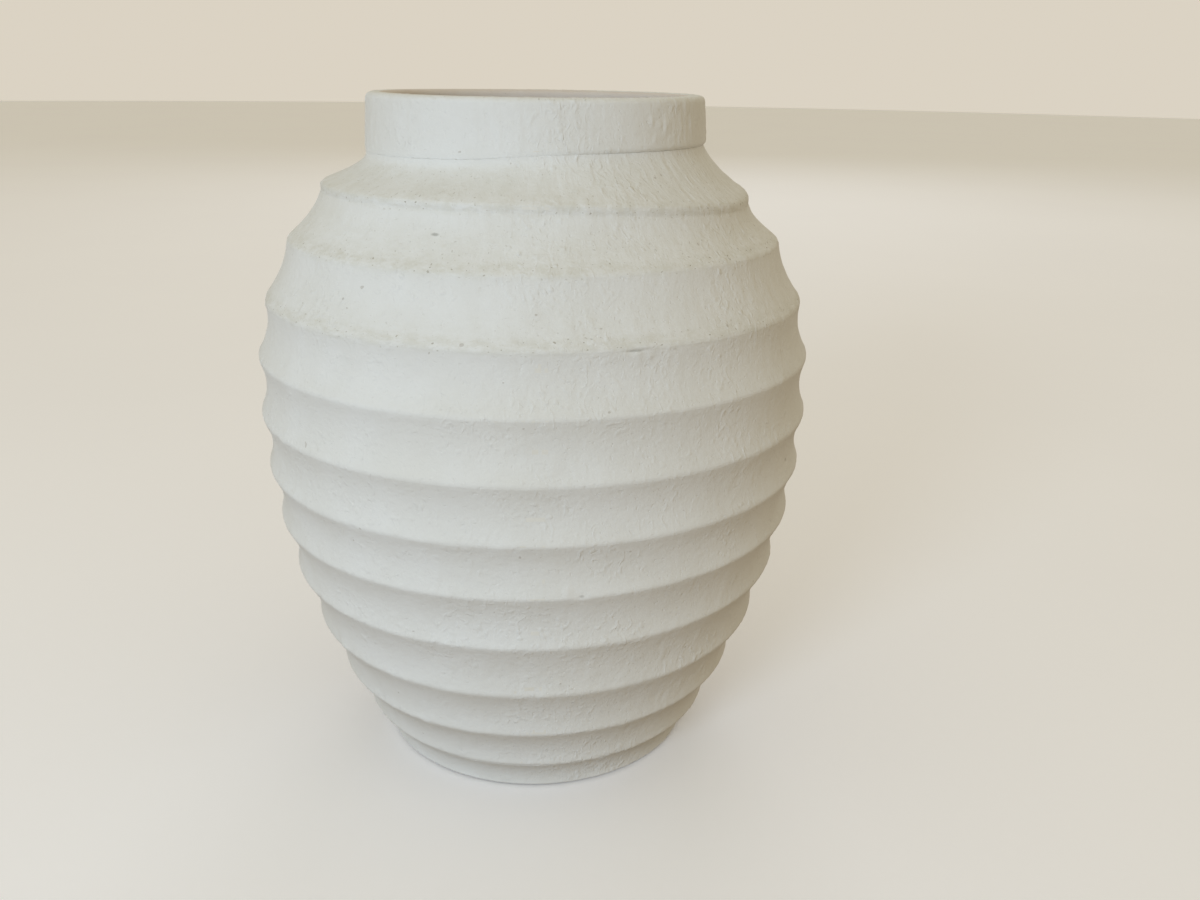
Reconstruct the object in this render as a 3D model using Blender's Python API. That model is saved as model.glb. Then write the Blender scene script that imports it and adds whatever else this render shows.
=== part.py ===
"""Egg-shaped ribbed slip-casting mold in plaster.

The mold stands on its foot plug at Z = 0 and opens on the plane Y = 0. The front half lies at -Y and the rear
half at +Y. Both close round a vase-shaped cavity, on a boss of the foot plug. A pour collar sits in a
counterbore at the top. Pin-and-cup natches in the two parting faces keep the halves in register.

Metres, +Z up, with the origin at the centre of the resting face.
"""

import math

import bmesh
import bpy

# Overall shape: an egg-shaped envelope that the rib crests touch.
HEIGHT = 0.300
BELLY_RADIUS = 0.1240
BELLY_HEIGHT = 0.1695
FOOT_RADIUS = 0.0737
SHOULDER_RADIUS = 0.0771
SHOULDER_HEIGHT = 0.2753
LOWER_FULLNESS = 1.96
UPPER_FULLNESS = 2.60

# Ribs: crest heights are even below the second crest, and the top crest sits closer to it. Under each crest
# is a round cove, and above each crest a short plain land.
RIB_COUNT = 11
RIB_PITCH = 0.0247
TOP_CREST = 0.2605
SECOND_CREST = 0.2404
RIB_DEPTH = 0.0031
LAND_SHARE = 0.13
SHOULDER_LAND = 0.18
SHOULDER_CURVE = 1.70
RIB_STATIONS = (0.0, 0.16, 0.44, 1 - LAND_SHARE)

# Collar: a ring with a little draft. Its rounded lower edge leaves the seat at COLLAR_EDGE_START degrees.
COLLAR_FOOT_RADIUS = 0.0734
COLLAR_TOP_RADIUS = 0.0723
COLLAR_HEIGHT = 0.0218
COLLAR_EDGE = 0.0022
COLLAR_EDGE_START = -60
MOUTH_RADIUS = 0.0640
RIM_ROUND = 0.0025
SPIGOT_RADIUS = 0.0682
SPIGOT_DEPTH = 0.0080

# Casting cavity and foot.
WALL = 0.024
CAVITY_FLOOR = 0.042
CAVITY_CORNER = 0.030
BOSS_RADIUS = 0.052
BOSS_EDGE = 0.0012
KICK_RADIUS = 0.041
KICK_HEIGHT = 0.003
FOOT_EDGE = 0.0015
JOINT_BELOW_CREST = 0.0008

# Natches, in the crests named here, counted from the top, in the middle of the wall.
NATCH_CRESTS = {"high": 1, "middle": 5, "low": 8}
SIDES = {"left": -1, "right": 1}
PIN_RADIUS = 0.0040
PIN_LENGTH = 0.0060
PIN_FLANGE_RADIUS = 0.0055
PIN_FLANGE_DEPTH = 0.0040
CUP_RADIUS = 0.0060
CUP_DEPTH = 0.0090
CUP_CLEARANCE = 0.0004
CUP_BOTTOM_CLEARANCE = 0.0006

# Fits and smoothness.
GAP = 0.0003
HALF_STEPS = 18
NATCH_STEPS = 12
SHARP_ANGLE = math.radians(40)

COLLAR_BOTTOM = HEIGHT - COLLAR_HEIGHT
CREASE_RADIUS = COLLAR_FOOT_RADIUS - COLLAR_EDGE * (1 - math.cos(math.radians(COLLAR_EDGE_START)))
CRESTS = [TOP_CREST] + [SECOND_CREST - RIB_PITCH * step for step in range(RIB_COUNT - 1)]
FOOT_JOINT = CRESTS[-1] - JOINT_BELOW_CREST

PLASTER = (0.80, 0.80, 0.76, 1.0)
NYLON = (0.78, 0.74, 0.62, 1.0)


def envelope(height):
    """Radius of the egg at a height: one power curve above the belly, another below it."""
    if height < BELLY_HEIGHT:
        share = (BELLY_HEIGHT - height) / BELLY_HEIGHT
        return BELLY_RADIUS - (BELLY_RADIUS - FOOT_RADIUS) * share**LOWER_FULLNESS
    share = (height - BELLY_HEIGHT) / (SHOULDER_HEIGHT - BELLY_HEIGHT)
    return BELLY_RADIUS - (BELLY_RADIUS - SHOULDER_RADIUS) * share**UPPER_FULLNESS


def rib_dip(share):
    """Depth of the cove, in units of RIB_DEPTH, at a share of the way down from one crest to the next."""
    across = min(1.0, share / (1 - LAND_SHARE))
    return 4 * across * (1 - across)


def ribbed_radius(height):
    """Radius of the ribbed surface at a height below the top crest."""
    for upper, lower in zip(CRESTS, CRESTS[1:] + [0.0]):
        if height >= lower:
            return envelope(height) - RIB_DEPTH * rib_dip((upper - height) / (upper - lower))
    return FOOT_RADIUS


def station_heights(low, high):
    """Heights between low and high, rising: the crest and three cove points of each rib."""
    heights = []
    for upper, lower in zip(CRESTS, CRESTS[1:] + [0.0]):
        heights += [upper - share * (upper - lower) for share in RIB_STATIONS]
    return sorted(height for height in heights if low < height < high)


def shoulder_points(count):
    """From the top of the land over the top crest, up the hollow slope to the crease under the collar."""
    slope = (COLLAR_BOTTOM - TOP_CREST) * (1 - SHOULDER_LAND)
    points = []
    for step in range(count + 1):
        fall = 1 - step / count
        radius = CREASE_RADIUS + (envelope(TOP_CREST) - CREASE_RADIUS) * fall**SHOULDER_CURVE
        points.append((radius, COLLAR_BOTTOM - slope * fall))
    return points


def cavity_radius(height):
    """Radius of the cast vase: the ribbed outside less the wall, turned in to the foot by a quarter round."""
    radius = ribbed_radius(height) - WALL
    rise = (height - CAVITY_FLOOR) / CAVITY_CORNER
    if rise >= 1:
        return radius
    foot = BOSS_RADIUS + GAP
    return foot + (radius - foot) * math.sqrt(max(0.0, 1 - (1 - rise) ** 2))


def arc(centre, radius, start, end, steps):
    """Points (r, z) on an arc, with angles in degrees from the +r direction towards +z."""
    angles = [math.radians(start + (end - start) * step / steps) for step in range(steps + 1)]
    return [(centre[0] + radius * math.cos(a), centre[1] + radius * math.sin(a)) for a in angles]


def half_profile():
    """Closed section (r, z) of one shell."""
    bottom = FOOT_JOINT + GAP / 2
    outside = [(ribbed_radius(bottom), bottom)]
    outside += [(ribbed_radius(z), z) for z in station_heights(bottom, TOP_CREST)]
    outside += [(envelope(TOP_CREST), TOP_CREST)] + shoulder_points(3)
    counterbore_floor = COLLAR_BOTTOM - SPIGOT_DEPTH
    counterbore = [(SPIGOT_RADIUS + GAP, COLLAR_BOTTOM), (SPIGOT_RADIUS + GAP, counterbore_floor)]
    corner = [CAVITY_FLOOR + CAVITY_CORNER * share for share in (0.02, 0.08, 0.2, 0.4, 0.7)]
    upper = station_heights(CAVITY_FLOOR + CAVITY_CORNER, TOP_CREST)
    inside = [(MOUTH_RADIUS, counterbore_floor), (cavity_radius(TOP_CREST), TOP_CREST)]
    inside += [(cavity_radius(z), z) for z in reversed(corner + upper)]
    bore = [(BOSS_RADIUS + GAP, CAVITY_FLOOR), (BOSS_RADIUS + GAP, bottom)]
    return outside + counterbore + inside + bore


def collar_profile():
    """Closed section (r, z) of the pour collar, with its spigot below."""
    seat = COLLAR_BOTTOM + GAP
    spigot_end = seat - SPIGOT_DEPTH
    edge_centre = seat - COLLAR_EDGE * math.sin(math.radians(COLLAR_EDGE_START))
    foot_edge = arc((COLLAR_FOOT_RADIUS - COLLAR_EDGE, edge_centre), COLLAR_EDGE, COLLAR_EDGE_START, 0, 2)
    outer_round = arc((COLLAR_TOP_RADIUS - RIM_ROUND, HEIGHT - RIM_ROUND), RIM_ROUND, 0, 90, 3)
    inner_round = arc((MOUTH_RADIUS + RIM_ROUND, HEIGHT - RIM_ROUND), RIM_ROUND, 90, 180, 3)
    spigot = [(MOUTH_RADIUS, spigot_end), (SPIGOT_RADIUS, spigot_end), (SPIGOT_RADIUS, seat)]
    return foot_edge + outer_round + inner_round + spigot


def foot_profile():
    """Open section (r, z) of the foot plug, from the axis at the base to the axis on the boss."""
    joint = FOOT_JOINT - GAP / 2
    base = [(0.0, 0.0), (ribbed_radius(0.0) - FOOT_EDGE, 0.0), (ribbed_radius(FOOT_EDGE), FOOT_EDGE)]
    side = [(ribbed_radius(z), z) for z in station_heights(FOOT_EDGE, joint)]
    boss = [(ribbed_radius(joint), joint), (BOSS_RADIUS, joint)]
    boss += [(BOSS_RADIUS, CAVITY_FLOOR - BOSS_EDGE), (BOSS_RADIUS - BOSS_EDGE, CAVITY_FLOOR)]
    kick_top = CAVITY_FLOOR + KICK_HEIGHT
    kick = [(KICK_RADIUS + KICK_HEIGHT, CAVITY_FLOOR), (KICK_RADIUS, kick_top), (0.0, kick_top)]
    return base + side + boss + kick


def pin_profile():
    """Open section of a natch pin: a flange below z = 0 and a rounded peg above it."""
    shank = PIN_LENGTH - PIN_RADIUS
    flange = [(0.0, -PIN_FLANGE_DEPTH), (PIN_FLANGE_RADIUS, -PIN_FLANGE_DEPTH), (PIN_FLANGE_RADIUS, 0.0)]
    return flange + [(PIN_RADIUS, 0.0)] + arc((0.0, shank), PIN_RADIUS, 0, 90, 3)


def cup_profile():
    """Open section of a natch cup: a thimble whose mouth lies at z = 0."""
    radius = PIN_RADIUS + CUP_CLEARANCE
    bottom = PIN_LENGTH + CUP_BOTTOM_CLEARANCE
    outside = [(0.0, -CUP_DEPTH), (CUP_RADIUS, -CUP_DEPTH), (CUP_RADIUS, 0.0)]
    return outside + [(radius, 0.0)] + arc((0.0, radius - bottom), radius, 0, -90, 3)


def principled(name, colour, roughness):
    material = bpy.data.materials.new(name)
    material.use_nodes = True
    shader = material.node_tree.nodes["Principled BSDF"]
    shader.inputs["Base Color"].default_value = colour
    shader.inputs["Roughness"].default_value = roughness
    shader.inputs["Metallic"].default_value = 0.0
    return material


def turned(name, profile, steps, sweep=math.tau, is_ring=True):
    """A piece turned about its own Z axis, from a section in its XZ plane."""
    shape = bmesh.new()
    points = [shape.verts.new((radius, 0.0, height)) for radius, height in profile]
    edges = [shape.edges.new(pair) for pair in zip(points, points[1:])]
    if is_ring:
        edges.append(shape.edges.new((points[-1], points[0])))
    bmesh.ops.spin(
        shape, geom=points + edges, cent=(0, 0, 0), axis=(0, 0, 1), dvec=(0, 0, 0), angle=sweep, steps=steps
    )
    bmesh.ops.remove_doubles(shape, verts=shape.verts, dist=1e-6)
    open_edges = [edge for edge in shape.edges if edge.is_boundary]
    if open_edges:
        bmesh.ops.holes_fill(shape, edges=open_edges, sides=0)
    bmesh.ops.recalc_face_normals(shape, faces=shape.faces)
    mesh = bpy.data.meshes.new(name)
    shape.to_mesh(mesh)
    shape.free()
    mesh.shade_smooth()
    mesh.set_sharp_from_angle(angle=SHARP_ANGLE)
    piece = bpy.data.objects.new(name, mesh)
    bpy.context.scene.collection.objects.link(piece)
    return piece


def finish(piece, colour, roughness):
    piece.data.materials.append(principled(piece.name, colour, roughness))


def natch_places():
    """(label, x, z) of each natch, at mid-wall on the parting plane."""
    for side, sign in SIDES.items():
        for level, crest in NATCH_CRESTS.items():
            height = CRESTS[crest]
            reach = (ribbed_radius(height) + cavity_radius(height)) / 2
            yield f"{side}_{level}", sign * reach, height


def natch(name, profile, x, z, face, points_to):
    """A natch part at its place, with its mouth or flange in the face and its axis along points_to * Y."""
    piece = turned(name, profile, NATCH_STEPS, is_ring=False)
    piece.location = (x, face, z)
    piece.rotation_euler = (-points_to * math.pi / 2, 0.0, 0.0)
    finish(piece, NYLON, 0.45)


def pocket(half, label, x, z, face, inward, radius, depth):
    """Cuts a round pocket for a natch into a half's parting face."""
    bpy.ops.mesh.primitive_cylinder_add(vertices=NATCH_STEPS, radius=radius + GAP, depth=2 * (depth + GAP))
    cutter = bpy.context.object
    cutter.name = f"cutter_{half.name}_{label}"
    cutter.location = (x, face, z)
    cutter.rotation_euler = (-inward * math.pi / 2, 0.0, 0.0)
    cutter.display_type = "WIRE"
    cutter.hide_render = True
    cut = half.modifiers.new(f"pocket_{label}", "BOOLEAN")
    cut.operation = "DIFFERENCE"
    cut.solver = "EXACT"
    cut.object = cutter


def build_half(name, side):
    """A shell on the side * Y side of the parting plane, stood off it by half the gap."""
    half = turned(name, half_profile(), HALF_STEPS, sweep=side * math.pi)
    half.location.y = side * GAP / 2
    finish(half, PLASTER, 0.92)
    return half


def build_mold():
    foot = turned("foot_plug", foot_profile(), 2 * HALF_STEPS, is_ring=False)
    finish(foot, PLASTER, 0.92)
    collar = turned("pour_collar", collar_profile(), 2 * HALF_STEPS)
    finish(collar, PLASTER, 0.92)
    front = build_half("front_half", -1)
    rear = build_half("rear_half", 1)
    for label, x, z in natch_places():
        natch(f"natch_pin_{label}", pin_profile(), x, z, GAP / 2, -1)
        natch(f"natch_cup_{label}", cup_profile(), x, z, -GAP / 2, 1)
        pocket(rear, label, x, z, GAP / 2, 1, PIN_FLANGE_RADIUS, PIN_FLANGE_DEPTH)
        pocket(front, label, x, z, -GAP / 2, -1, CUP_RADIUS, CUP_DEPTH)


for leftover in list(bpy.data.objects):
    bpy.data.objects.remove(leftover, do_unlink=True)
build_mold()
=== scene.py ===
"""Looks for the egg-shaped ribbed plaster mold: plaster shells, foot plug and pour collar, nylon natches.

Every plaster piece is a dense turned mesh with its own brush strokes, lumps, pits and soft worn edges.
Metres, +Z up, in the frame of the CAD model.
"""

import math

import bmesh
import bpy
import numpy as np
from mathutils import Matrix, Vector


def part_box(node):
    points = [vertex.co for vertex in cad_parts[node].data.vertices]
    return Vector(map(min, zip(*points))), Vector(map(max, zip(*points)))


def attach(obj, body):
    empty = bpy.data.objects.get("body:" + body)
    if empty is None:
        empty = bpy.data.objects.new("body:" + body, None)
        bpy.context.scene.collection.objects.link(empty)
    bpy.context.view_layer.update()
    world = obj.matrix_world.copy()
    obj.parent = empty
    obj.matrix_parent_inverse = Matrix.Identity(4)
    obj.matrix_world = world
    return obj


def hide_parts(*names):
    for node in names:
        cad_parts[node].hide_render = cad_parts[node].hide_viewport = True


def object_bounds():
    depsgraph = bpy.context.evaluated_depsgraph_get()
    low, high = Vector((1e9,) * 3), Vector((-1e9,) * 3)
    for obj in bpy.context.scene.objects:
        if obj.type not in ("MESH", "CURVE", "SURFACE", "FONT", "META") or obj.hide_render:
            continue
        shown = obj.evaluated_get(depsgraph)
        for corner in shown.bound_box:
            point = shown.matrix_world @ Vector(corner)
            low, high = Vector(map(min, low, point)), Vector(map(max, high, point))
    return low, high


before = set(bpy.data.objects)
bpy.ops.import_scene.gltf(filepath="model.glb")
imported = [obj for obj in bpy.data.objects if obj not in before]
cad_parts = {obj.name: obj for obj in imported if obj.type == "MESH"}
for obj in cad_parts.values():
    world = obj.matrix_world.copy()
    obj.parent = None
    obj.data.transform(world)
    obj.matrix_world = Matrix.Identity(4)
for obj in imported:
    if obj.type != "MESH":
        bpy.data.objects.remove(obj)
cad_low, cad_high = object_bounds()

MM = 0.001

# ---------------------------------------------------------------- sizes from the frame
HEIGHT = cad_high.z
FRONT_LOW, FRONT_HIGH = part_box("front_half")
COLLAR_LOW, COLLAR_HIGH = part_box("pour_collar")
BELLY_RADIUS = FRONT_HIGH.x
COLLAR_FOOT_RADIUS = COLLAR_HIGH.x
COLLAR_SEAT = FRONT_HIGH.z
SPIGOT_END = COLLAR_LOW.z
FOOT_JOINT = FRONT_LOW.z

# The egg envelope and its ribs.
BELLY_HEIGHT = 0.1695
FOOT_RADIUS = 0.0737
SHOULDER_RADIUS = 0.0771
SHOULDER_HEIGHT = 0.2753
LOWER_FULLNESS = 1.96
UPPER_FULLNESS = 2.60
RIB_COUNT = 11
RIB_PITCH = 0.0247
TOP_CREST = 0.2605
SECOND_CREST = 0.2404
RIB_DEPTH = 0.0029
LAND_SHARE = 0.05
SHOULDER_LAND = 0.18
SHOULDER_CURVE = 1.70

# How far each rib was thrown above or below its even place, from the top one down, in mm.
RIB_WANDER = (0.0, -0.4, -0.8, -0.2, -1.1, -0.6, 0.7, 0.6, -1.2, -1.8, 0.0)
EVEN_CRESTS = [TOP_CREST] + [SECOND_CREST - RIB_PITCH * step for step in range(RIB_COUNT - 1)]
CRESTS = [height + wander * MM for height, wander in zip(EVEN_CRESTS, RIB_WANDER)]

# How the thrown rings lie: (height, rise at the front, rise at the right) in mm, measured at the outside.
RING_TILT = (
    (18.0, 0.0, 0.0),
    (41.0, -0.6, 0.9),
    (93.0, -0.5, 1.1),
    (118.0, -0.5, 1.0),
    (142.0, -0.2, 0.3),
    (166.0, 0.0, 0.0),
)

# The collar was trimmed a little askew and stands a little off centre. The top crest sags and swells out on
# one side, SAG_TURN round from the front. Plaster fills this share of the crease under the collar's left.
COLLAR_SKEW = 2.7 * MM
COLLAR_LEAN = 0.7 * MM
CREST_SAG = 4.8 * MM
SAG_SWELL = 1.4 * MM
SAG_TURN = math.radians(70)
SAG_INNER = 73.5 * MM
SAG_EASE = 9.0 * MM
CREASE_FILL = 0.9

# Sideways distances on the collar, in units of its radius: how far left of the axis the skew changes sign,
# how softly it builds up from there, and how far right of there the crease fill ends.
SKEW_SHIFT = 0.2
SKEW_EASE = 0.35
FILL_END = 0.7

# Gap round a fitted part, and the much smaller one that is seen between plaster pieces of the closed mold.
GAP = 0.3 * MM
VISIBLE_GAP = 0.02 * MM

# The collar, from its rounded lower edge up to the rim and down the mouth to the spigot.
COLLAR_TOP_RADIUS = 72.3 * MM
COLLAR_EDGE = 2.2 * MM
COLLAR_EDGE_START = -60
CREASE_RADIUS = COLLAR_FOOT_RADIUS - COLLAR_EDGE * (1 - math.cos(math.radians(COLLAR_EDGE_START)))
MOUTH_RADIUS = 64.0 * MM
RIM_ROUND = 2.5 * MM
SPIGOT_RADIUS = 68.2 * MM

# The cavity, the boss of the foot plug and the shallow kick-up on it.
WALL = 24.0 * MM
CAVITY_FLOOR = 42.0 * MM
CAVITY_CORNER = 30.0 * MM
BOSS_RADIUS = 52.0 * MM
KICK_RADIUS = 41.0 * MM
KICK_HEIGHT = 3.0 * MM

# Mesh fineness. Rows crowd together within CREST_BAND of a crest.
HALF_COLUMNS = 320
RING_COLUMNS = 640
FINE_ROW = 1.1 * MM
COVE_ROW = 1.75 * MM
COARSE_ROW = 4.0 * MM
CREST_BAND = 3.7 * MM

# Edges that turn more than this stay sharp.
PLASTER_SHARP = math.radians(66)
NYLON_SHARP = math.radians(50)

# Wear.
SEAM_ROUND = 0.9 * MM
CREST_WEAR = 0.18 * MM

# The radius at which brush strokes keep their true width.
GIRTH_RADIUS = 110.0 * MM


# ---------------------------------------------------------------- smooth seeded noise
def smooth(t):
    return t * t * (3 - 2 * t)


def noise(turn, along, cells, seed):
    """Value noise from -1 to 1. turn runs once round the piece as it goes from 0 to 1, along counts cells."""
    rows = int(np.ceil(along.max())) + 3
    grid = np.random.default_rng(seed).uniform(-1, 1, (rows, cells))
    turn_cell = (turn % 1.0) * cells
    column = np.floor(turn_cell).astype(int)
    row = np.floor(along).astype(int)
    across = smooth(turn_cell - column)
    up = smooth(along - row)
    left = column % cells
    right = (column + 1) % cells
    low = grid[row, left] * (1 - across) + grid[row, right] * across
    high = grid[row + 1, left] * (1 - across) + grid[row + 1, right] * across
    return low * (1 - up) + high * up


# ---------------------------------------------------------------- the turned shape
def envelope(height):
    below = np.clip((BELLY_HEIGHT - height) / BELLY_HEIGHT, 0, 1)
    above = np.clip((height - BELLY_HEIGHT) / (SHOULDER_HEIGHT - BELLY_HEIGHT), 0, 1.2)
    lower = BELLY_RADIUS - (BELLY_RADIUS - FOOT_RADIUS) * below**LOWER_FULLNESS
    upper = BELLY_RADIUS - (BELLY_RADIUS - SHOULDER_RADIUS) * above**UPPER_FULLNESS
    return np.where(height < BELLY_HEIGHT, lower, upper)


def rib_dip(share):
    """Depth of the cove, in units of RIB_DEPTH, at a share of the way down from one crest to the next."""
    across = np.clip(share / (1 - LAND_SHARE), 0, 1)
    return 4 * across * (1 - across)


def ribbed_radius(height):
    edges = np.array((CRESTS + [0.0])[::-1])
    band = np.clip(np.searchsorted(edges, height, side="right"), 1, len(edges) - 1)
    lower = edges[band - 1]
    upper = edges[band]
    share = np.clip((upper - height) / (upper - lower), 0, 1)
    return envelope(height) - RIB_DEPTH * rib_dip(share)


def shoulder_radius(height):
    """The land over the top crest, then the hollow slope up to the crease under the collar."""
    slope = (COLLAR_SEAT - TOP_CREST) * (1 - SHOULDER_LAND)
    fall = np.clip((COLLAR_SEAT - height) / slope, 0, 1)
    return CREASE_RADIUS + (envelope(np.array(TOP_CREST)) - CREASE_RADIUS) * fall**SHOULDER_CURVE


def outside_radius(height):
    return np.where(height > TOP_CREST, shoulder_radius(height), ribbed_radius(np.minimum(height, TOP_CREST)))


def cavity_radius(height):
    radius = ribbed_radius(np.minimum(height, TOP_CREST)) - WALL
    rise = np.clip((height - CAVITY_FLOOR) / CAVITY_CORNER, 0, 1)
    foot = BOSS_RADIUS + GAP
    return foot + (radius - foot) * np.sqrt(1 - (1 - rise) ** 2)


def thrown(points):
    """Moves evenly turned points (…, 3) to where the hand-thrown form has them."""
    x, y, z = points[..., 0], points[..., 1], points[..., 2]
    radius = np.hypot(x, y)
    heights, fronts, rights = np.array(RING_TILT).T * MM
    tilt = (np.interp(z, heights, rights) * x - np.interp(z, heights, fronts) * y) / BELLY_RADIUS
    aside = x / COLLAR_FOOT_RADIUS + SKEW_SHIFT
    at_seat = smooth(np.interp(z, [TOP_CREST, COLLAR_SEAT, HEIGHT - RIM_ROUND], [0.0, 1.0, 0.0]))
    skew = COLLAR_SKEW * aside / (SKEW_EASE + np.abs(aside)) * at_seat
    toward = np.clip(np.cos(np.arctan2(x, -y) - SAG_TURN), 0, 1) ** 3
    at_crest = smooth(np.interp(z, [CRESTS[1], TOP_CREST, COLLAR_SEAT], [0.0, 1.0, 0.0]))
    outside = smooth(np.clip((radius - SAG_INNER) / SAG_EASE, 0, 1))
    sag = toward * at_crest * outside
    rise = tilt + skew - CREST_SAG * sag
    lean = COLLAR_LEAN * smooth(np.interp(z, [TOP_CREST, COLLAR_SEAT], [0.0, 1.0]))
    swell = 1 + (SAG_SWELL * sag + crease_fill(radius, z, aside)) / np.maximum(radius, MM)
    return np.stack([x * swell + lean, y * swell, z + rise], -1)


def crease_fill(radius, z, aside):
    """How far plaster fills the crease under the collar: nearly all of it on the left, none on the right."""
    inset = COLLAR_FOOT_RADIUS - CREASE_RADIUS
    over = np.clip((COLLAR_FOOT_RADIUS - radius) / inset, 0, 1) * (z < COLLAR_SEAT + COLLAR_EDGE)
    under = np.clip(1 - (COLLAR_SEAT - z) / (4 * MM), 0, 1)
    near = np.where(z > COLLAR_SEAT - 0.01 * MM, over, under) * np.clip((radius - 70 * MM) / (1.5 * MM), 0, 1)
    return CREASE_FILL * inset * near * (1 - smooth(np.clip(aside / FILL_END, 0, 1)))


def spaced(start, end, spacing):
    """Values from start to end, both included, about spacing apart."""
    count = max(1, round(abs(end - start) / spacing))
    return np.linspace(start, end, count + 1)


def line(start, end, spacing):
    """Points (r, z) on a straight run."""
    start, end = np.array(start), np.array(end)
    share = spaced(0, 1, spacing / max(float(np.linalg.norm(end - start)), 1e-9))
    return start + (end - start) * share[:, None]


def arc(centre, radius, start, end, steps):
    """Points (r, z) on an arc, with angles in degrees from +r towards +z."""
    angles = np.radians(np.linspace(start, end, steps + 1))
    return np.array(centre) + radius * np.stack([np.cos(angles), np.sin(angles)], 1)


def on_surface(radius_at, heights):
    """Points (r, z) at some heights, on the surface whose radius a function gives."""
    return np.stack([radius_at(heights), heights], 1)


class Section:
    """A closed or open section (r, z) with, for each point, how strongly brush texture and wear act on it."""

    def __init__(self):
        self.points = []
        self.brush = []

    def add(self, points, brush):
        """Adds a run of points of one brush strength, leaving out any that repeats the one before it."""
        for point in np.atleast_2d(points):
            if self.points and np.linalg.norm(point - self.points[-1]) < 0.02 * MM:
                continue
            self.points.append(point)
            self.brush.append(brush)

    def arrays(self):
        points = np.array(self.points)
        steps = np.linalg.norm(np.diff(points, axis=0), axis=1)
        return points, np.array(self.brush), np.concatenate([[0], np.cumsum(steps)])


def section_normals(points, closed):
    """Outward normals (r, z) of a section that runs up its outer side."""
    if closed:
        tangent = np.roll(points, -1, 0) - np.roll(points, 1, 0)
    else:
        tangent = np.gradient(points, axis=0)
    normal = np.stack([tangent[:, 1], -tangent[:, 0]], 1)
    return normal / np.maximum(np.linalg.norm(normal, axis=1, keepdims=True), 1e-12)


def brushed(turn, along, seed):
    """Height of a hand-brushed plaster coat, in metres: swell, patches of upright strokes, lumps and pits."""
    swell = noise(turn, along / 0.060, 9, seed) + 0.4 * noise(turn, along / 0.022, 27, seed + 1)
    wander = noise(turn, along / 0.035, 30, seed + 2) / 420
    stroke = noise(turn + wander, along / 0.0090, 270, seed + 3)
    stroke += 0.7 * noise(turn + 1.7 * wander, along / 0.0055, 330, seed + 4)
    patch = smooth(np.clip(0.55 + 0.8 * noise(turn, along / 0.026, 24, seed + 5), 0, 1))
    spot = noise(turn, along / 0.0032, 215, seed + 6)
    lump = np.clip(spot - 0.50, 0, 1) - 0.8 * np.clip(-spot - 0.65, 0, 1)
    dab = noise(turn, along / 0.0048, 118, seed + 7) * noise(turn, along / 0.0075, 96, seed + 8)
    relief = 0.085 * stroke * (0.35 + 0.65 * patch) + 0.62 * lump * (0.25 + 0.75 * patch)
    return MM * (0.16 * swell + relief + 0.16 * dab * (0.4 + 0.6 * patch))


def cast(turn, along, seed):
    """Height of a face cast against a smooth model: faint swell and rare pinholes."""
    swell = noise(turn, along / 0.030, 17, seed)
    hole = np.clip(-noise(turn, along / 0.0030, 210, seed + 1) - 0.86, 0, 1)
    return MM * (0.05 * swell - 1.4 * hole)


def crest_wear(turn, height, seed):
    """How far the crests are rubbed down: a soft rounding with ragged nicks along each edge."""
    depth = np.zeros_like(turn)
    for number, crest in enumerate(CRESTS):
        near = np.exp(-(((height - crest) / (0.8 * MM)) ** 2))
        lengthwise = np.full_like(turn, number + 0.5)
        rag = 0.5 + 0.5 * noise(turn, lengthwise, 300, seed)
        nick = np.clip(noise(turn, lengthwise, 120, seed + 1) - 0.72, 0, 1)
        depth += near * (0.3 + 0.7 * rag + 9.0 * nick)
    return CREST_WEAR * depth


# Marks in the coat: (degrees round from the front towards +X, height, half width, half height, depth), with
# lengths in mm. A negative depth is a blob that stands proud.
MARKS = (
    (-22.5, 252.3, 2.6, 0.9, 0.7),
    (17.6, 214.6, 5.0, 0.7, 0.5),
    (19.5, 215.9, 3.0, 0.6, -0.35),
    (5.4, 120.8, 1.4, 2.2, -0.45),
    (8.2, 119.0, 1.8, 1.0, 0.45),
    (14.2, 282.0, 1.0, 1.0, -0.7),
    (16.3, 282.6, 0.9, 0.8, -0.6),
    (18.4, 282.0, 1.1, 0.9, -0.7),
    (37.5, 291.0, 1.0, 2.4, -0.4),
    (43.5, 287.5, 0.9, 3.0, -0.5),
    (38.5, 282.5, 1.2, 1.4, -0.6),
    (15.5, 274.0, 1.0, 2.2, -0.4),
    (33.0, 272.0, 1.4, 1.2, -0.4),
    (-43.0, 254.0, 1.0, 0.8, 0.4),
    (64.0, 150.5, 2.0, 1.4, 0.6),
    (138.0, 196.0, 3.5, 1.2, 0.6),
    (171.0, 93.0, 1.6, 2.4, -0.5),
    (214.0, 232.0, 2.2, 1.2, 0.6),
    (256.0, 62.0, 2.8, 1.0, 0.5),
)


def mark_place(degrees, height):
    """Point of a mark on the evenly turned outside."""
    radius = float(outside_radius(np.array(height * MM)))
    angle = math.radians(degrees - 90)
    return np.array([radius * math.cos(angle), radius * math.sin(angle), height * MM])


def marked(points):
    """Depth of the marks at evenly turned points (…, 3)."""
    depth = np.zeros(points.shape[:-1])
    for degrees, height, half_width, half_height, deep in MARKS:
        x, y, z = mark_place(degrees, height)
        across = np.hypot(points[..., 0] - x, points[..., 1] - y) / (half_width * MM)
        up = (points[..., 2] - z) / (half_height * MM)
        depth += deep * MM * np.exp(-(across**2) - up**2)
    return depth


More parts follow.
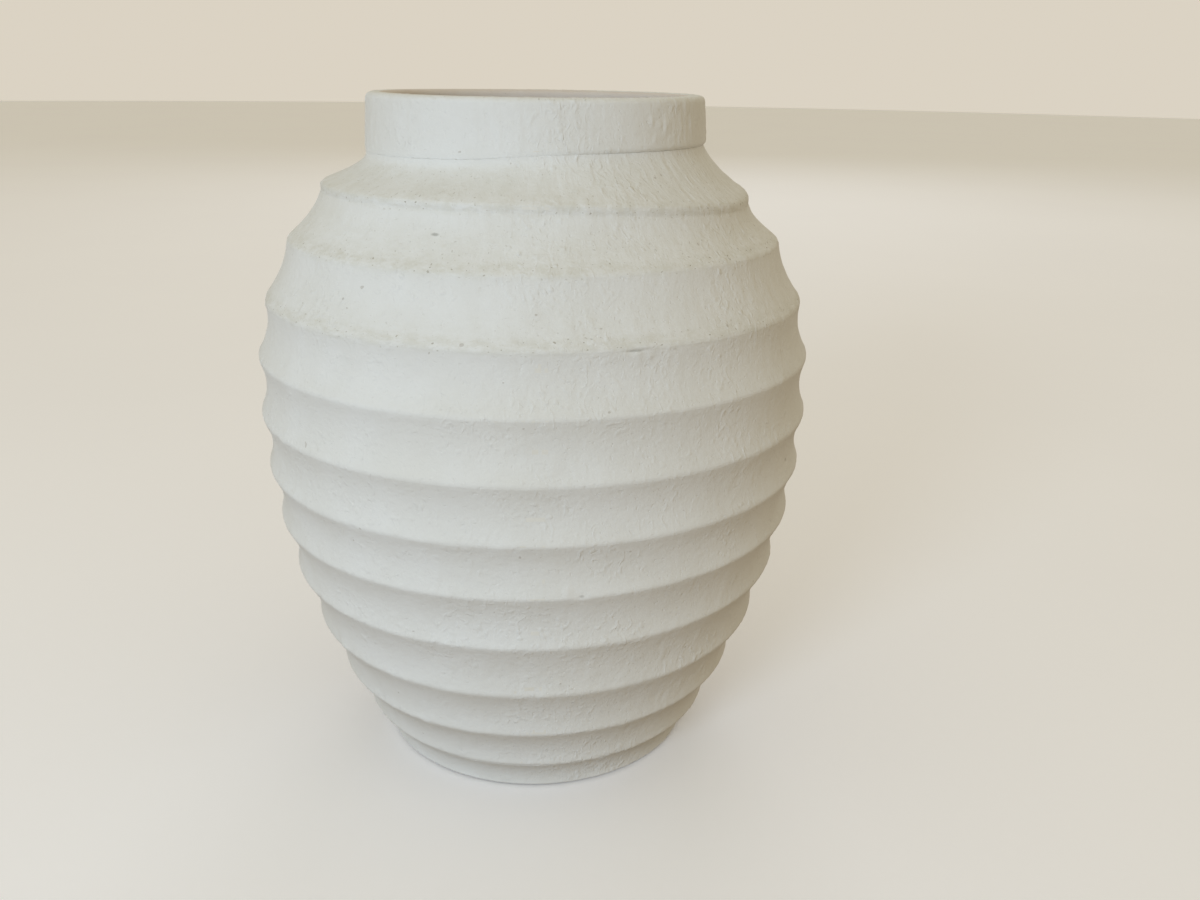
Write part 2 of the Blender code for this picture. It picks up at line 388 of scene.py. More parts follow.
def grid_faces(columns, rows, wrap_columns, wrap_rows):
    """Quads of a grid whose vertex (column, row) is number column * rows + row."""
    column = np.arange(columns if wrap_columns else columns - 1)
    row = np.arange(rows if wrap_rows else rows - 1)
    c, r = np.meshgrid(column, row, indexing="ij")
    c_next = (c + 1) % columns
    r_next = (r + 1) % rows
    quad = np.stack([c * rows + r, c_next * rows + r, c_next * rows + r_next, c * rows + r_next], -1)
    return quad.reshape(-1, 4)


def seam_wear(turn, run, radius, seam, seed):
    """Depth of the rounding at a parting edge, uneven along its length."""
    offset = np.abs((turn - seam + 0.5) % 1.0 - 0.5) * math.tau * np.maximum(radius, 1 * MM)
    inside = np.clip(1 - offset / SEAM_ROUND, 0, 1)
    worn = 0.7 + 0.35 * noise(turn, run / 0.011, 3, seed) + 0.25 * noise(turn, run / 0.0032, 3, seed + 1)
    return worn * SEAM_ROUND * (1 - np.sqrt(1 - inside**2))


def turned_points(section, turns, seed, closed, seams=()):
    """Points (column, row, 3) of a section turned evenly round Z, with its texture and worn edges."""
    points, brush, along = section.arrays()
    normal = section_normals(points, closed)
    turn, run = np.meshgrid(turns, along, indexing="ij")
    height = np.broadcast_to(points[:, 1], turn.shape)
    relief = brush * brushed(turn, run, seed) + (1 - brush) * cast(turn, run, seed + 50)
    coated = brush > 0.99
    relief = relief - coated * crest_wear(turn, height, seed + 60)
    for seam in seams:
        relief = relief - (0.15 + 0.85 * brush) * seam_wear(turn, run, points[:, 0], seam, seed + 70)
    angle = turn * math.tau
    bare = np.stack([points[:, 0] * np.cos(angle), points[:, 0] * np.sin(angle), height], -1)
    relief = relief - coated * marked(bare)
    radius = points[:, 0] + relief * normal[:, 0]
    return np.stack([radius * np.cos(angle), radius * np.sin(angle), height + relief * normal[:, 1]], -1)


def mesh_object(name, points, faces):
    mesh = bpy.data.meshes.new(name)
    mesh.from_pydata(points.reshape(-1, 3).tolist(), [], [list(face) for face in faces])
    piece = bpy.data.objects.new(name, mesh)
    bpy.context.scene.collection.objects.link(piece)
    return piece


# ---------------------------------------------------------------- plaster pieces
def plaster_object(name, points, faces):
    """A mesh on the thrown form. Each vertex keeps its even height, which the finish follows for dust."""
    piece = mesh_object(name, thrown(points), faces)
    even = piece.data.attributes.new("even_height", "FLOAT", "POINT")
    even.data.foreach_set("value", points[..., 2].ravel().astype(np.float32))
    return piece


def outside_heights(low, high):
    """Rows for the outside from low to high: close together at each crest and wider apart in the coves."""
    near = np.array([0.35, 0.8, 1.5, 2.5]) * MM
    rows = [np.array([low, high])]
    for upper, lower in zip(CRESTS, CRESTS[1:] + [0.0]):
        rows += [upper - near, lower + near, [upper]]
        rows += [spaced(upper - CREST_BAND, lower + CREST_BAND, COVE_ROW)]
    rows += [TOP_CREST + near, spaced(TOP_CREST + CREST_BAND, COLLAR_SEAT - 0.4 * MM, COVE_ROW)]
    heights = np.unique(np.concatenate(rows).round(6))
    return heights[(heights >= low) & (heights <= high)]


def half_section():
    """Closed section of a shell: up the outside, down the counterbore and the cavity, and along the joint."""
    bottom = FOOT_JOINT
    bottom_radius = float(outside_radius(np.array(bottom)))
    floor = SPIGOT_END - GAP
    bore = SPIGOT_RADIUS + GAP
    section = Section()
    section.add(line((BOSS_RADIUS + GAP, bottom), (bottom_radius - 0.5 * MM, bottom), COARSE_ROW), 0.0)
    heights = outside_heights(bottom + 0.3 * MM, COLLAR_SEAT - 0.15 * MM)
    sheltered = heights >= COLLAR_SEAT - 1.5 * MM
    section.add(on_surface(outside_radius, heights[~sheltered]), 1.0)
    section.add(on_surface(outside_radius, heights[sheltered]), 0.5)
    section.add(line((CREASE_RADIUS - 0.12 * MM, COLLAR_SEAT), (bore, COLLAR_SEAT), 1.5 * MM), 0.0)
    section.add(line((bore, COLLAR_SEAT), (bore, floor), 2.5 * MM), 0.0)
    section.add(line((MOUTH_RADIUS + 0.1 * MM, floor), (MOUTH_RADIUS, floor - 0.4 * MM), 1.0 * MM), 0.0)
    heights = spaced(TOP_CREST, CAVITY_FLOOR + CAVITY_CORNER, COARSE_ROW)
    section.add(on_surface(cavity_radius, heights), 0.0)
    corner = CAVITY_FLOOR + CAVITY_CORNER * np.linspace(1, 0, 12) ** 1.8
    section.add(on_surface(cavity_radius, corner), 0.0)
    bore_top = (BOSS_RADIUS + GAP, CAVITY_FLOOR)
    section.add(line(bore_top, (BOSS_RADIUS + GAP, bottom + 0.5 * MM), COARSE_ROW), 0.0)
    return section


def seam_columns(count):
    """Turn values over half a turn, with extra columns close to both ends to round the seam edges."""
    near = np.array([0.12, 0.3, 0.55, 0.9]) * MM / (math.tau * BELLY_RADIUS)
    even = np.linspace(0, 0.5, count)
    return np.concatenate([[0], near, even[1:-1], 0.5 - near[::-1], [0.5]])


def natch_boxes(kind):
    """(name, centre x, centre z, lowest y, highest y, radius) of each natch of a kind."""
    for name in sorted(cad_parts):
        if name.startswith(f"natch_{kind}_"):
            low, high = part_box(name)
            yield name, (low.x + high.x) / 2, (low.z + high.z) / 2, low.y, high.y, (high.x - low.x) / 2


def close_parting_faces(piece, columns, rows, pockets, inward):
    """Fills both parting faces of a half, leaving a blind round pocket for each natch."""
    shape = bmesh.new()
    shape.from_mesh(piece.data)
    shape.verts.ensure_lookup_table()
    rings = [[shape.verts[column * rows + row] for row in range(rows)] for column in (0, columns - 1)]
    for ring in rings:
        side = 1 if ring[0].co.x > 0 else -1
        edges = [shape.edges.get((a, b)) for a, b in zip(ring, ring[1:] + ring[:1])]
        for x, z, radius, depth in pockets:
            if x * side < 0:
                continue
            edges += pocket_walls(shape, x, z, ring[0].co.y, radius, inward * depth)
        bmesh.ops.triangle_fill(shape, use_beauty=True, use_dissolve=False, edges=edges)
    bmesh.ops.recalc_face_normals(shape, faces=shape.faces)
    shape.to_mesh(piece.data)
    shape.free()


def pocket_walls(shape, x, z, y, radius, depth):
    """A blind cylindrical pocket. Returns the edges of its mouth."""
    steps = 40
    edge = 0.25 * MM
    rings = []
    stages = ((radius + edge, y), (radius, y + math.copysign(edge, depth)), (radius, y + depth))
    for ring_radius, ring_y in stages:
        ring = []
        for step in range(steps):
            angle = math.tau * step / steps
            place = (x + ring_radius * math.cos(angle), ring_y, z + ring_radius * math.sin(angle))
            ring.append(shape.verts.new(place))
        rings.append(ring)
    for outer, inner in zip(rings, rings[1:]):
        for step in range(steps):
            after = (step + 1) % steps
            shape.faces.new((outer[step], outer[after], inner[after], inner[step]))
    shape.faces.new(rings[-1])
    mouth = rings[0]
    return [shape.edges.get(pair) for pair in zip(mouth, mouth[1:] + mouth[:1])]


def build_half(name, side, pockets):
    section = half_section()
    rows = len(section.points)
    turns = seam_columns(HALF_COLUMNS)
    if side < 0:
        turns = turns + 0.5
    points = turned_points(section, turns, 11, True, seams=(0.0, 0.5))
    points[0, :, 1] = 0.0
    points[-1, :, 1] = 0.0
    points[..., 1] += side * VISIBLE_GAP / 2
    piece = plaster_object(name, points, grid_faces(len(turns), rows, False, True))
    close_parting_faces(piece, len(turns), rows, pockets, side)
    return piece


def ring_piece(name, section, seed, closed):
    """A full turned piece. An open section starts and ends on the axis."""
    turns = np.arange(RING_COLUMNS) / RING_COLUMNS
    points = turned_points(section, turns, seed, closed)
    rows = points.shape[1]
    faces = [list(face) for face in grid_faces(len(turns), rows, True, closed)]
    if closed:
        return plaster_object(name, points, faces)
    flat = points.reshape(-1, 3)
    centres = np.array([[0, 0, flat[0, 2]], [0, 0, flat[rows - 1, 2]]])
    first = len(flat)
    for column in range(len(turns)):
        after = (column + 1) % len(turns)
        faces.append([first, after * rows, column * rows])
        faces.append([first + 1, column * rows + rows - 1, after * rows + rows - 1])
    return plaster_object(name, np.concatenate([flat, centres]), faces)


def collar_section():
    """Closed section of the collar: up its wall, over the rim, down the mouth and round the spigot."""
    seat = COLLAR_SEAT + VISIBLE_GAP
    section = Section()
    edge_centre = seat - COLLAR_EDGE * math.sin(math.radians(COLLAR_EDGE_START))
    section.add(line((SPIGOT_RADIUS, seat), (CREASE_RADIUS - 0.1 * MM, seat), 1.2 * MM), 0.0)
    lower_edge = (COLLAR_FOOT_RADIUS - COLLAR_EDGE, edge_centre)
    section.add(arc(lower_edge, COLLAR_EDGE, COLLAR_EDGE_START, 0, 6), 0.8)
    wall_foot = (COLLAR_FOOT_RADIUS, edge_centre)
    wall_top = (COLLAR_TOP_RADIUS, HEIGHT - RIM_ROUND)
    section.add(line(wall_foot, wall_top, FINE_ROW), 1.0)
    section.add(arc((COLLAR_TOP_RADIUS - RIM_ROUND, HEIGHT - RIM_ROUND), RIM_ROUND, 0, 90, 7), 0.75)
    rim_outside = (COLLAR_TOP_RADIUS - RIM_ROUND, HEIGHT)
    section.add(line(rim_outside, (MOUTH_RADIUS + RIM_ROUND, HEIGHT), 1.0 * MM), 0.55)
    section.add(arc((MOUTH_RADIUS + RIM_ROUND, HEIGHT - RIM_ROUND), RIM_ROUND, 90, 180, 7), 0.5)
    bore_foot = (MOUTH_RADIUS, SPIGOT_END + 0.5 * MM)
    section.add(line((MOUTH_RADIUS, HEIGHT - RIM_ROUND), bore_foot, 1.7 * MM), 0.3)
    spigot_inside = (MOUTH_RADIUS + 0.5 * MM, SPIGOT_END)
    section.add(line(spigot_inside, (SPIGOT_RADIUS - 0.5 * MM, SPIGOT_END), 1.5 * MM), 0.0)
    spigot_outside = (SPIGOT_RADIUS, SPIGOT_END + 0.5 * MM)
    section.add(line(spigot_outside, (SPIGOT_RADIUS, seat - 0.2 * MM), 1.7 * MM), 0.0)
    return section


def foot_section():
    """Open section of the foot plug: out along the base, up to the joint, and over the boss to the axis."""
    joint = FOOT_JOINT - VISIBLE_GAP
    edge = 1.5 * MM
    boss_edge = 1.2 * MM
    kick_top = CAVITY_FLOOR + KICK_HEIGHT
    kick_foot = KICK_RADIUS + KICK_HEIGHT
    section = Section()
    section.add(line((4 * MM, 0), (FOOT_RADIUS - edge, 0), 4 * MM), 0.0)
    section.add(arc((FOOT_RADIUS - edge, edge), edge, -60, 0, 4), 0.3)
    heights = spaced(edge, joint - 0.4 * MM, FINE_ROW * 0.75)
    section.add(on_surface(outside_radius, heights), 1.0)
    joint_radius = float(outside_radius(np.array(joint)))
    section.add(line((joint_radius - 0.5 * MM, joint), (BOSS_RADIUS, joint), 2.5 * MM), 0.0)
    section.add(line((BOSS_RADIUS, joint), (BOSS_RADIUS, CAVITY_FLOOR - boss_edge), 2 * MM), 0.0)
    round_centre = (BOSS_RADIUS - boss_edge, CAVITY_FLOOR - boss_edge)
    section.add(arc(round_centre, boss_edge, 0, 90, 4), 0.0)
    boss_top = (BOSS_RADIUS - 1.5 * MM, CAVITY_FLOOR)
    section.add(line(boss_top, (kick_foot + 1 * MM, CAVITY_FLOOR), 2 * MM), 0.0)
    kick_start = (kick_foot, CAVITY_FLOOR + 0.2 * MM)
    section.add(line(kick_start, (KICK_RADIUS + 0.5 * MM, kick_top - 0.4 * MM), 1 * MM), 0.0)
    section.add(line((KICK_RADIUS - 0.5 * MM, kick_top), (4 * MM, kick_top), 3.5 * MM), 0.0)
    return section


# ---------------------------------------------------------------- natches
def lathe_points(profile, columns):
    """Points of an open section turned about its own Z axis."""
    profile = np.array(profile)
    angle = np.arange(columns) / columns * math.tau
    radius = profile[:, 0][None, :]
    x = radius * np.cos(angle)[:, None]
    y = radius * np.sin(angle)[:, None]
    z = np.broadcast_to(profile[:, 1][None, :], x.shape)
    return np.stack([x, y, z], -1)


def natch_object(name, profile, x, y, z, points_to):
    columns = 40
    points = lathe_points(profile, columns)
    rows = len(profile)
    faces = [list(face) for face in grid_faces(columns, rows, True, False)]
    faces.append([column * rows for column in range(columns)][::-1])
    faces.append([column * rows + rows - 1 for column in range(columns)])
    turn = Matrix.Rotation(-points_to * math.pi / 2, 4, "X")
    piece = mesh_object(name, points, faces)
    piece.data.transform(Matrix.Translation((x, y, z)) @ turn)
    tidy_normals(piece)
    return piece


def tidy_normals(piece):
    shape = bmesh.new()
    shape.from_mesh(piece.data)
    bmesh.ops.recalc_face_normals(shape, faces=shape.faces)
    shape.to_mesh(piece.data)
    shape.free()
    piece.data.shade_smooth()
    piece.data.set_sharp_from_angle(angle=NYLON_SHARP)


def pin_section(flange_radius, flange_depth, length):
    """Flange with soft edges, a small fillet and a round-nosed peg."""
    peg = 4.0 * MM
    shank = length - peg
    flange = [(0.5 * MM, -flange_depth), (flange_radius - 0.6 * MM, -flange_depth)]
    flange += [(flange_radius, 0.6 * MM - flange_depth), (flange_radius, -0.35 * MM)]
    flange += [(flange_radius - 0.35 * MM, 0.0), (peg + 0.5 * MM, 0.0), (peg + 0.1 * MM, 0.2 * MM)]
    nose = [tuple(point) for point in arc((0.0, shank), peg, 0, 82, 12)]
    return flange + [(peg, 0.6 * MM)] + nose


def cup_section(radius, depth):
    """Thimble with a countersunk mouth and a rounded socket."""
    bore = 4.4 * MM
    bottom = 6.6 * MM
    outside = [(0.5 * MM, -depth), (radius - 0.8 * MM, -depth), (radius, 0.8 * MM - depth)]
    outside += [(radius, -0.3 * MM), (radius - 0.3 * MM, 0.0), (bore + 0.45 * MM, 0.0)]
    outside += [(bore + 0.1 * MM, -0.3 * MM), (bore, -0.7 * MM)]
    return outside + [tuple(point) for point in arc((0.0, bore - bottom), bore, 0, -82, 12)]


# ---------------------------------------------------------------- materials
class Nodes:
    """Short calls for building a material's node tree."""

    def __init__(self, name):
        self.material = bpy.data.materials.new(name)
        self.material.use_nodes = True
        self.tree = self.material.node_tree
        self.shader = self.tree.nodes["Principled BSDF"]

    def add(self, kind, **settings):
        node = self.tree.nodes.new(kind)
        for key, value in settings.items():
            setattr(node, key, value)
        return node

    def link(self, source, target):
        self.tree.links.new(source, target)

    def feed(self, socket, value):
        """Sets an input to a number or colour, or links it to an output socket."""
        if isinstance(value, (int, float, tuple)):
            socket.default_value = value
        else:
            self.link(value, socket)

    def math(self, operation, *values):
        node = self.add("ShaderNodeMath", operation=operation)
        for socket, value in zip(node.inputs, values):
            self.feed(socket, value)
        return node.outputs[0]

    def noise(self, vector, scale, detail=3.0, roughness=0.55):
        node = self.add("ShaderNodeTexNoise")
        node.inputs["Scale"].default_value = scale
        node.inputs["Detail"].default_value = detail
        node.inputs["Roughness"].default_value = roughness
        self.link(vector, node.inputs["Vector"])
        return node.outputs["Fac"]

    def ramp(self, value, low, high):
        """0 below low, 1 above high, smooth between."""
        node = self.add("ShaderNodeMapRange", interpolation_type="SMOOTHSTEP")
        node.inputs["From Min"].default_value = low
        node.inputs["From Max"].default_value = high
        self.link(value, node.inputs["Value"])
        return node.outputs["Result"]

    def mix(self, factor, a, b):
        node = self.add("ShaderNodeMix", data_type="RGBA")
        for name, value in zip(("Factor", "A", "B"), (factor, a, b)):
            self.feed(node.inputs[name], value)
        return node.outputs["Result"]

    def bump(self, height, strength, distance, below=None):
        node = self.add("ShaderNodeBump")
        node.inputs["Strength"].default_value = strength
        node.inputs["Distance"].default_value = distance
        self.link(height, node.inputs["Height"])
        if below is not None:
            self.link(below, node.inputs["Normal"])
        return node.outputs["Normal"]


def colour(red, green, blue):
    return (red, green, blue, 1.0)


def placed(nodes):
    """Object coordinates, in metres."""
    return nodes.add("ShaderNodeTexCoord").outputs["Object"]


def unrolled(nodes):
    """Object coordinates, the same unrolled round Z as (girth, 0, height), and the height, in metres."""
    coordinates = placed(nodes)
    split = nodes.add("ShaderNodeSeparateXYZ")
    nodes.link(coordinates, split.inputs[0])
    x, y, z = split.outputs
    angle = nodes.math("ARCTAN2", y, x)
    girth = nodes.math("MULTIPLY", angle, GIRTH_RADIUS)
    join = nodes.add("ShaderNodeCombineXYZ")
    nodes.link(girth, join.inputs[0])
    nodes.link(z, join.inputs[2])
    return coordinates, join.outputs[0], z


def stretched(nodes, vector, across, along):
    """The vector with its girth and height scaled apart, for brush strokes that run up and down."""
    node = nodes.add("ShaderNodeVectorMath", operation="MULTIPLY")
    nodes.link(vector, node.inputs[0])
    node.inputs[1].default_value = (across, across, along)
    return node.outputs[0]


def dent_shade_mask(nodes, coordinates, degrees, height, half_width, half_height, depth):
    """How much painted shade a dent gets: its depth in mm in its heart, 0 outside it."""
    offset = nodes.add("ShaderNodeVectorMath", operation="SUBTRACT")
    nodes.link(coordinates, offset.inputs[0])
    offset.inputs[1].default_value = thrown(mark_place(degrees, height))
    scaled = nodes.add("ShaderNodeVectorMath", operation="DIVIDE")
    nodes.link(offset.outputs[0], scaled.inputs[0])
    scaled.inputs[1].default_value = (half_width * MM, half_width * MM, half_height * MM)
    length = nodes.add("ShaderNodeVectorMath", operation="LENGTH")
    nodes.link(scaled.outputs[0], length.inputs[0])
    inside = nodes.math("SUBTRACT", 1.0, nodes.ramp(length.outputs["Value"], 0.25, 0.85))
    return nodes.math("MULTIPLY", inside, depth)


def brushed_plaster():
    """Matte brushed gypsum: strokes, grain, yellowed clouds, dust on the ledges, dark specks, and painted
    shade in the deeper dents.
    """
    nodes = Nodes("brushed_plaster")
    coordinates, girth, _ = unrolled(nodes)
    geometry = nodes.add("ShaderNodeNewGeometry")
    normal = nodes.add("ShaderNodeSeparateXYZ")
    nodes.link(geometry.outputs["Normal"], normal.inputs[0])
    up = normal.outputs[2]

    mottle = nodes.noise(coordinates, 38.0, 4.0)
    base = nodes.mix(nodes.ramp(mottle, 0.35, 0.68), colour(0.765, 0.77, 0.75), colour(0.79, 0.80, 0.79))
    cloud = nodes.noise(coordinates, 11.0, 3.0)
    yellowed = nodes.math("MULTIPLY", nodes.ramp(cloud, 0.52, 0.75), 0.18)
    base = nodes.mix(yellowed, base, colour(0.76, 0.74, 0.67))

    streak = nodes.noise(stretched(nodes, girth, 420.0, 70.0), 1.0, 2.0)
    streaked = nodes.math("MULTIPLY", nodes.ramp(streak, 0.62, 0.80), 0.03)
    base = nodes.mix(streaked, base, colour(0.66, 0.65, 0.60))

    even = nodes.add("ShaderNodeAttribute", attribute_name="even_height").outputs["Fac"]
    settled = nodes.math("MULTIPLY", nodes.ramp(up, 0.25, 0.75), 0.45)
    for crest in CRESTS[:3]:
        above = nodes.math("ABSOLUTE", nodes.math("SUBTRACT", even, crest + 2.2 * MM))
        ledge = nodes.math("SUBTRACT", 1.0, nodes.ramp(above, 0.8 * MM, 4.6 * MM))
        settled = nodes.math("MAXIMUM", settled, ledge)
    patch = nodes.ramp(nodes.noise(stretched(nodes, girth, 110.0, 260.0), 1.0, 8.0, 0.78), 0.38, 0.62)
    dust = nodes.math("MULTIPLY", nodes.math("MULTIPLY", settled, patch), 0.36)
    base = nodes.mix(dust, base, colour(0.57, 0.55, 0.45))

    fleck = nodes.noise(stretched(nodes, girth, 560.0, 900.0), 1.0, 1.0, 0.5)
    speck = nodes.math("MULTIPLY", nodes.ramp(fleck, 0.67, 0.73), nodes.math("MULTIPLY", settled, 0.70))
    base = nodes.mix(speck, base, colour(0.34, 0.31, 0.24))
    stray = nodes.ramp(nodes.noise(coordinates, 380.0, 0.0), 0.875, 0.895)
    base = nodes.mix(nodes.math("MULTIPLY", stray, 0.35), base, colour(0.30, 0.25, 0.19))
    # Painted shade: dents deeper than 0.4 mm are darkened, as the shade inside them would be.
    for mark in MARKS:
        if mark[-1] > 0.4:
            base = nodes.mix(dent_shade_mask(nodes, coordinates, *mark), base, colour(0.36, 0.36, 0.33))
    nodes.link(base, nodes.shader.inputs["Base Color"])

    roughness = nodes.math("MULTIPLY_ADD", mottle, 0.14, 0.80)
    nodes.link(roughness, nodes.shader.inputs["Roughness"])
    nodes.shader.inputs["Specular IOR Level"].default_value = 0.25

    bristle = nodes.noise(stretched(nodes, girth, 700.0, 170.0), 1.0, 3.0, 0.6)
    rough = nodes.math("MULTIPLY_ADD", nodes.ramp(nodes.noise(coordinates, 34.0, 2.0), 0.42, 0.64), 0.8, 0.2)
    bend = nodes.add("ShaderNodeCombineXYZ")
    bow = nodes.math("MULTIPLY_ADD", nodes.noise(coordinates, 150.0, 1.0), 0.008, -0.004)
    nodes.link(bow, bend.inputs[0])
    bent = nodes.add("ShaderNodeVectorMath", operation="ADD")
    nodes.link(girth, bent.inputs[0])
    nodes.link(bend.outputs[0], bent.inputs[1])
    drip = nodes.noise(stretched(nodes, bent.outputs[0], 620.0, 300.0), 1.0, 0.0)
    ridge = nodes.math("MULTIPLY", nodes.ramp(drip, 0.52, 0.88), rough)
    blob = nodes.math("MULTIPLY", nodes.ramp(nodes.noise(coordinates, 420.0, 0.0), 0.56, 0.90), rough)
    pit = nodes.ramp(nodes.noise(coordinates, 520.0, 1.0), 0.26, 0.36)
    grain = nodes.noise(coordinates, 1300.0, 3.0, 0.7)
    lump = nodes.noise(coordinates, 380.0, 3.0, 0.6)
    surface = nodes.bump(bristle, 1.0, 0.04 * MM)
    surface = nodes.bump(ridge, 1.0, 0.14 * MM, surface)
    surface = nodes.bump(blob, 1.0, 0.20 * MM, surface)
    surface = nodes.bump(pit, 1.0, 0.08 * MM, surface)
    surface = nodes.bump(lump, 1.0, 0.21 * MM, surface)
    surface = nodes.bump(grain, 1.0, 0.05 * MM, surface)
    nodes.link(surface, nodes.shader.inputs["Normal"])
    return nodes.material


def cast_plaster():
    """Plaster cast against a soaped model: smoother, a little yellower, pinholed, with painted shade in the
    pinholes and warm painted shade in the mouth.
    """
    nodes = Nodes("cast_plaster")
    coordinates, girth, z = unrolled(nodes)
    mottle = nodes.noise(coordinates, 45.0, 4.0)
    base = nodes.mix(nodes.ramp(mottle, 0.35, 0.68), colour(0.76, 0.75, 0.70), colour(0.80, 0.795, 0.755))
    ring = nodes.noise(stretched(nodes, girth, 6.0, 260.0), 1.0, 2.0)
    ringed = nodes.math("MULTIPLY", nodes.ramp(ring, 0.50, 0.72), 0.22)
    base = nodes.mix(ringed, base, colour(0.69, 0.66, 0.58))
    # Painted shade: the mouth's wall is darkened and warmed, unevenly, more towards the rim.
    mouth_shade_noise = nodes.math("MULTIPLY_ADD", nodes.noise(coordinates, 60.0, 3.0), 0.5, 0.45)
    mouth_painted_shade = nodes.math("MULTIPLY", nodes.ramp(z, COLLAR_SEAT, HEIGHT - 8 * MM), mouth_shade_noise)
    base = nodes.mix(mouth_painted_shade, base, colour(0.63, 0.54, 0.47))
    pinhole = nodes.ramp(nodes.noise(coordinates, 700.0, 1.0), 0.76, 0.80)
    # Painted shade in the pinholes: they are darkened as well as sunk by the bump below.
    base = nodes.mix(nodes.math("MULTIPLY", pinhole, 0.5), base, colour(0.40, 0.38, 0.33))
    nodes.link(base, nodes.shader.inputs["Base Color"])
    nodes.link(nodes.math("MULTIPLY_ADD", mottle, 0.16, 0.66), nodes.shader.inputs["Roughness"])
    nodes.shader.inputs["Specular IOR Level"].default_value = 0.3
    surface = nodes.bump(nodes.noise(coordinates, 900.0, 3.0, 0.6), 0.25, 0.12 * MM)
    surface = nodes.bump(nodes.math("SUBTRACT", 1.0, pinhole), 0.5, 0.3 * MM, surface)
    nodes.link(surface, nodes.shader.inputs["Normal"])
    return nodes.material


def moulded_nylon():
    """Natural nylon: warm off-white with a soft sheen, fine mould grain and plaster dust."""
    nodes = Nodes("moulded_nylon")
    coordinates = placed(nodes)
    dusty = nodes.ramp(nodes.noise(coordinates, 260.0, 4.0, 0.6), 0.48, 0.66)
    base = nodes.mix(nodes.math("MULTIPLY", dusty, 0.45), colour(0.70, 0.63, 0.47), colour(0.80, 0.79, 0.74))
    nodes.link(base, nodes.shader.inputs["Base Color"])
    nodes.link(nodes.math("MULTIPLY_ADD", dusty, 0.35, 0.34), nodes.shader.inputs["Roughness"])
    nodes.shader.inputs["Subsurface Weight"].default_value = 0.15
    nodes.shader.inputs["Subsurface Radius"].default_value = (0.002, 0.0015, 0.001)
    surface = nodes.bump(nodes.noise(coordinates, 1400.0, 2.0), 0.2, 0.08 * MM)
    nodes.link(surface, nodes.shader.inputs["Normal"])
    return nodes.material


def floor_paint():
    """Pale matt floor. It throws less light on the mold than the camera sees, as a darker table top would."""
    nodes = Nodes("pale_floor")
    soft = nodes.noise(placed(nodes), 2.5, 3.0)
    seen = nodes.mix(soft, colour(0.90, 0.88, 0.88), colour(0.94, 0.92, 0.92))
    camera_ray = nodes.add("ShaderNodeLightPath").outputs["Is Camera Ray"]
    nodes.link(nodes.mix(camera_ray, colour(0.42, 0.34, 0.25), seen), nodes.shader.inputs["Base Color"])
    nodes.shader.inputs["Emission Color"].default_value = colour(0.6, 0.7, 0.8)
    nodes.link(nodes.math("MULTIPLY", camera_ray, 0.13), nodes.shader.inputs["Emission Strength"])
    nodes.shader.inputs["Roughness"].default_value = 0.75
    nodes.shader.inputs["Specular IOR Level"].default_value = 0.1
    return nodes.material


# ---------------------------------------------------------------- assembly
BRUSHED = brushed_plaster()
CAST = cast_plaster()
NYLON = moulded_nylon()


def outside_faces(mesh):
    """For each face, whether it lies on the brushed outside and not on a joint, cavity or parting face."""
    centres = np.empty(3 * len(mesh.polygons))
    normals = np.empty(3 * len(mesh.polygons))
    mesh.polygons.foreach_get("center", centres)
    mesh.polygons.foreach_get("normal", normals)
    x, y, z = centres.reshape(-1, 3).T
    radius = np.hypot(x, y)
    mid_wall = outside_radius(z) - 0.4 * WALL
    on_body = radius > np.where(z > SPIGOT_END, SPIGOT_RADIUS + 3 * MM, mid_wall)
    on_collar = radius > MOUTH_RADIUS + 2 * MM
    on_joint = np.abs(normals.reshape(-1, 3)[:, 2]) > 0.98
    parting = np.abs(normals.reshape(-1, 3)[:, 1]) > 0.9995
    return np.where(z > COLLAR_SEAT + 4 * MM, on_collar, on_body & ~parting & ~on_joint)


def dress(piece, node, body):
    """Gives a plaster piece its two finishes by face, and puts it in the node's place."""
    mesh = piece.data
    mesh.materials.append(BRUSHED)
    mesh.materials.append(CAST)
    mesh.polygons.foreach_set("material_index", np.where(outside_faces(mesh), 0, 1).astype(np.int32))
    mesh.shade_smooth()
    mesh.set_sharp_from_angle(angle=PLASTER_SHARP)
    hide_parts(node)
    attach(piece, body)


def build_mold():
    cups = list(natch_boxes("cup"))
    pins = list(natch_boxes("pin"))
    cup_pockets = [(x, z, radius + GAP, high - low + GAP) for _, x, z, low, high, radius in cups]
    pin_pockets = [(x, z, radius + GAP, high + GAP / 2) for _, x, z, low, high, radius in pins]
    dress(build_half("front_shell_plaster", -1, cup_pockets), "front_half", "front_shell")
    dress(build_half("rear_shell_plaster", 1, pin_pockets), "rear_half", "rear_shell")
    collar = ring_piece("pour_collar_plaster", collar_section(), 23, True)
    tidy_normals(collar)
    dress(collar, "pour_collar", "collar")
    foot = ring_piece("foot_plug_plaster", foot_section(), 37, False)
    tidy_normals(foot)
    dress(foot, "foot_plug", "foot")
    for name, x, z, low, high, radius in pins:
        section = pin_section(radius, high - GAP / 2, -low + GAP / 2)
        finish_natch(natch_object(f"{name}_moulded", section, x, GAP / 2, z, -1), name, "rear_shell")
    for name, x, z, low, high, radius in cups:
        section = cup_section(radius, high - low)
        finish_natch(natch_object(f"{name}_moulded", section, x, -GAP / 2, z, 1), name, "front_shell")


def finish_natch(piece, node, body):
    piece.data.materials.append(NYLON)
    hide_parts(node)
    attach(piece, body)


# ---------------------------------------------------------------- studio
def build_floor():
    bpy.ops.mesh.primitive_circle_add(vertices=96, radius=9.0, fill_type="NGON", location=(0, 0, -0.2 * MM))
    floor = bpy.context.object
    floor.name = "studio_floor"
    floor.data.materials.append(floor_paint())


